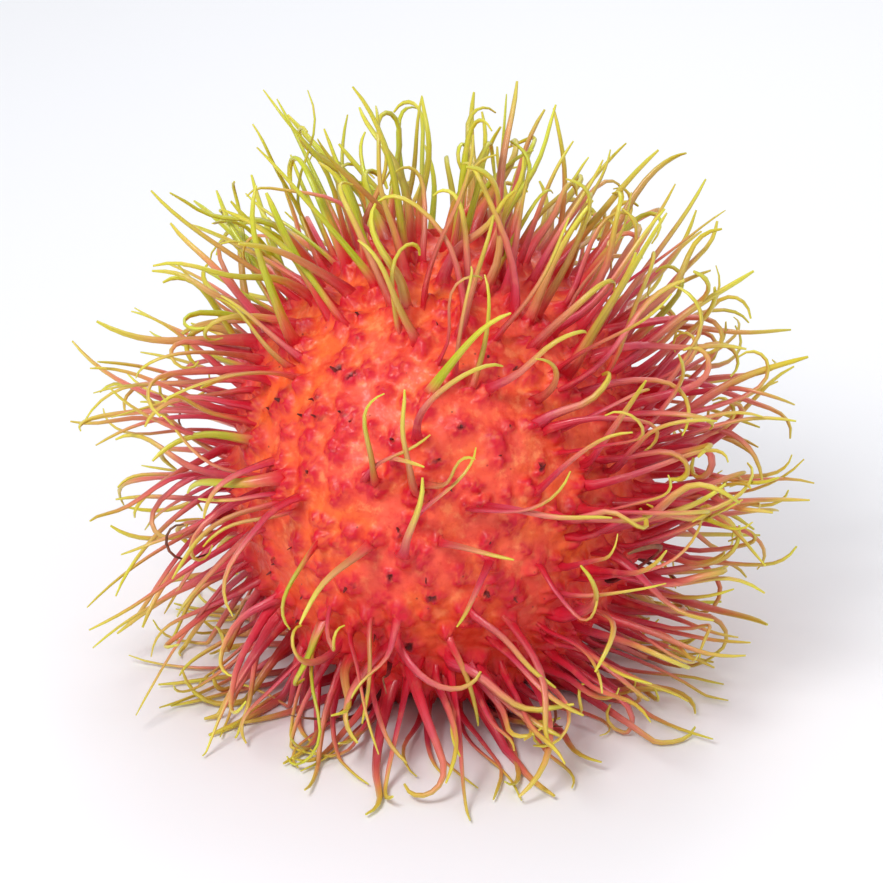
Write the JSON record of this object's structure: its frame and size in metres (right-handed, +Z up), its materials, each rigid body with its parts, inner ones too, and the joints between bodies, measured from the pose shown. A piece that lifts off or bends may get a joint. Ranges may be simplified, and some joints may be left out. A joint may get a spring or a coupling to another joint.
{
  "type": "rambutan fruit",
  "caption": "Whole rambutan fruit: an egg-shaped red rind covered in soft curling spinterns with yellow-green tips, resting on a small flat spot.",
  "frame": {"origin": "middle of the small flat spot that the fruit rests on", "axes": "+Z up; -Y is the front of the fruit; the stem end leans back and up, towards +Y and +Z"},
  "size_m": [0.0752, 0.0741, 0.0612],
  "materials": {
    "rind": "satin",
    "spintern": "satin",
    "stem_scar": "matte"
  },
  "bodies": {
    "root": {"rambutan_fruit": "rind"}
  },
  "joints": []
}
